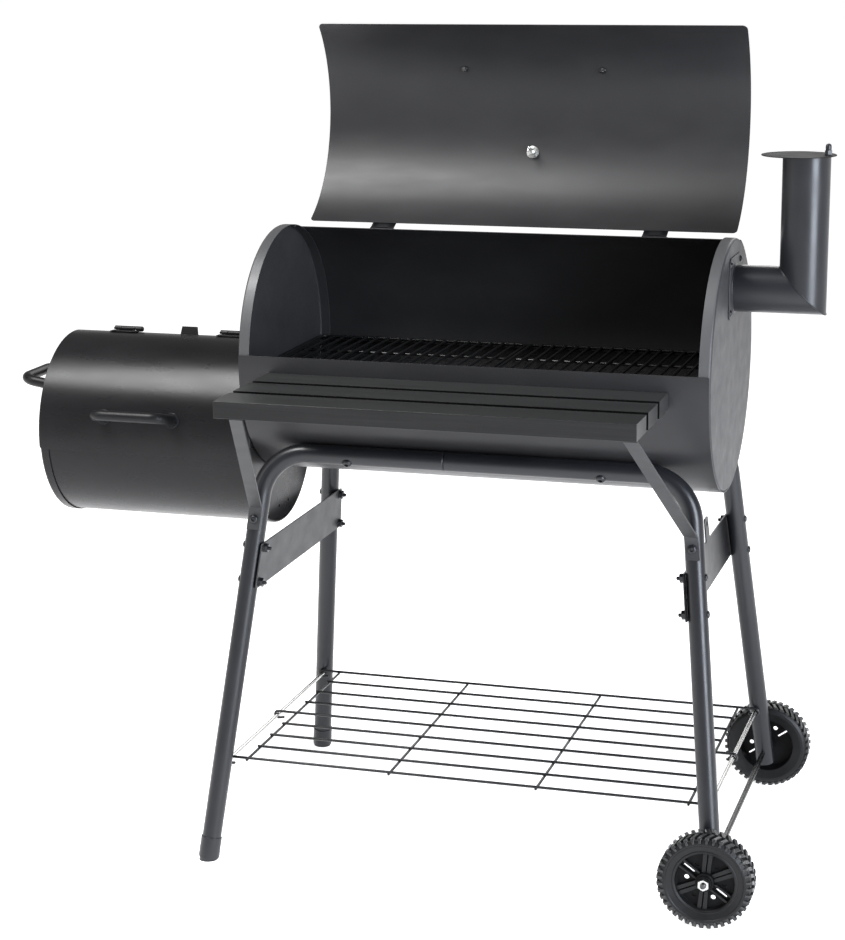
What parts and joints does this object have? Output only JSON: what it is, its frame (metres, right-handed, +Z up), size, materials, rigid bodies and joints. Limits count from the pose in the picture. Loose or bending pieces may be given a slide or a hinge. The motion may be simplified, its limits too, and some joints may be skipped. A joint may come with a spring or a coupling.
{
  "type": "offset smoker",
  "caption": "Offset smoker: a round cooking barrel with an open lid, a side firebox, an elbow chimney, a slatted shelf and a tube stand on wheels with a wire rack.",
  "frame": {"origin": "on the floor under the middle of the whole object's box, lid open as at rest", "axes": "+X from the firebox to the chimney, -Y to the front with the shelf, +Z up"},
  "size_m": [1.2243, 0.7082, 1.1901],
  "materials": {
    "black_sheet": "satin black powder coat",
    "black_tube": "satin black powder coat, smoother",
    "grate_wire": "black enamel",
    "black_board": "black stained wood, fine grain lengthwise",
    "black_plastic": "matt black moulded plastic",
    "zinc": "zinc plated",
    "dial_steel": "satin steel"
  },
  "bodies": {
    "stand": {"barrel_shell": "black_sheet", "barrel_cap_left": "black_sheet", "barrel_cap_right": "black_sheet", "grate_ledge_front": "black_sheet", "grate_ledge_rear": "black_sheet", "cooking_grate_left": "grate_wire", "cooking_grate_right": "grate_wire", "barrel_hinge_base_left": "black_tube", "barrel_hinge_base_right": "black_tube", "barrel_hinge_pin_left": "zinc", "barrel_hinge_pin_right": "zinc", "firebox_shell": "black_sheet", "firebox_cap_left": "black_sheet", "firebox_cap_right": "black_sheet", "firebox_grate": "grate_wire", "firebox_side_handle": "black_tube", "firebox_hinge_base_left": "black_tube", "firebox_hinge_base_right": "black_tube", "firebox_hinge_pin_left": "zinc", "firebox_hinge_pin_right": "zinc", "air_vent_pivot": "zinc", "chimney_elbow_pipe": "black_tube", "chimney_stack": "black_tube", "chimney_flange": "black_sheet", "damper_pivot": "black_tube", "shelf_slat_front": "black_board", "shelf_slat_middle": "black_board", "shelf_slat_rear": "black_board", "shelf_support_left": "black_sheet", "shelf_support_right": "black_sheet", "frame_front_left": "black_tube", "frame_front_right": "black_tube", "frame_rear_left": "black_tube", "frame_rear_right": "black_tube", "side_plate_left": "black_sheet", "side_plate_right": "black_sheet", "wire_rack": "grate_wire", "rack_rod_left": "zinc", "rack_rod_right": "zinc", "foot_cap_front": "black_plastic", "foot_cap_rear": "black_plastic", "axle": "zinc", "axle_nut_front": "zinc", "axle_nut_rear": "zinc"},
    "barrel_lid": {"barrel_lid": "black_sheet", "lid_handle": "black_tube", "thermometer": "dial_steel", "thermometer_nut": "zinc", "barrel_hinge_leaf_left": "black_tube", "barrel_hinge_leaf_right": "black_tube"},
    "firebox_lid": {"firebox_lid": "black_sheet", "firebox_lid_handle": "black_tube", "firebox_lid_tab": "black_sheet", "firebox_hinge_leaf_left": "black_tube", "firebox_hinge_leaf_right": "black_tube"},
    "damper": {"damper_disc": "black_sheet"},
    "air_vent": {"air_vent_disc": "black_sheet"},
    "wheel_front": {"wheel_front": "black_plastic"},
    "wheel_rear": {"wheel_rear": "black_plastic"}
  },
  "joints": [
    {"name": "barrel_lid_hinge", "type": "hinge", "parent": "stand", "child": "barrel_lid", "pos_m": [0.13675, 0.1291, 0.88805], "axis": [1, 0, 0], "range_deg": [0, 130.6]},
    {"name": "firebox_lid_hinge", "type": "hinge", "parent": "stand", "child": "firebox_lid", "pos_m": [-0.3709, 0.06193, 0.73338], "axis": [-1, 0, 0], "range_deg": [0, 105]},
    {"name": "damper_swing", "type": "hinge", "parent": "stand", "child": "damper", "pos_m": [0.60075, 0.0404, 1.0205], "axis": [0, 0, 1], "continuous": true},
    {"name": "air_vent_turn", "type": "hinge", "parent": "stand", "child": "air_vent", "pos_m": [-0.53925, 0.0404, 0.556], "axis": [-1, 0, 0], "range_deg": [0, 60]},
    {"name": "wheel_front_spin", "type": "hinge", "parent": "stand", "child": "wheel_front", "pos_m": [0.5029, -0.2431, 0.066], "axis": [0, 1, 0], "continuous": true},
    {"name": "wheel_rear_spin", "type": "hinge", "parent": "stand", "child": "wheel_rear", "pos_m": [0.5029, 0.3239, 0.066], "axis": [0, 1, 0], "continuous": true}
  ]
}
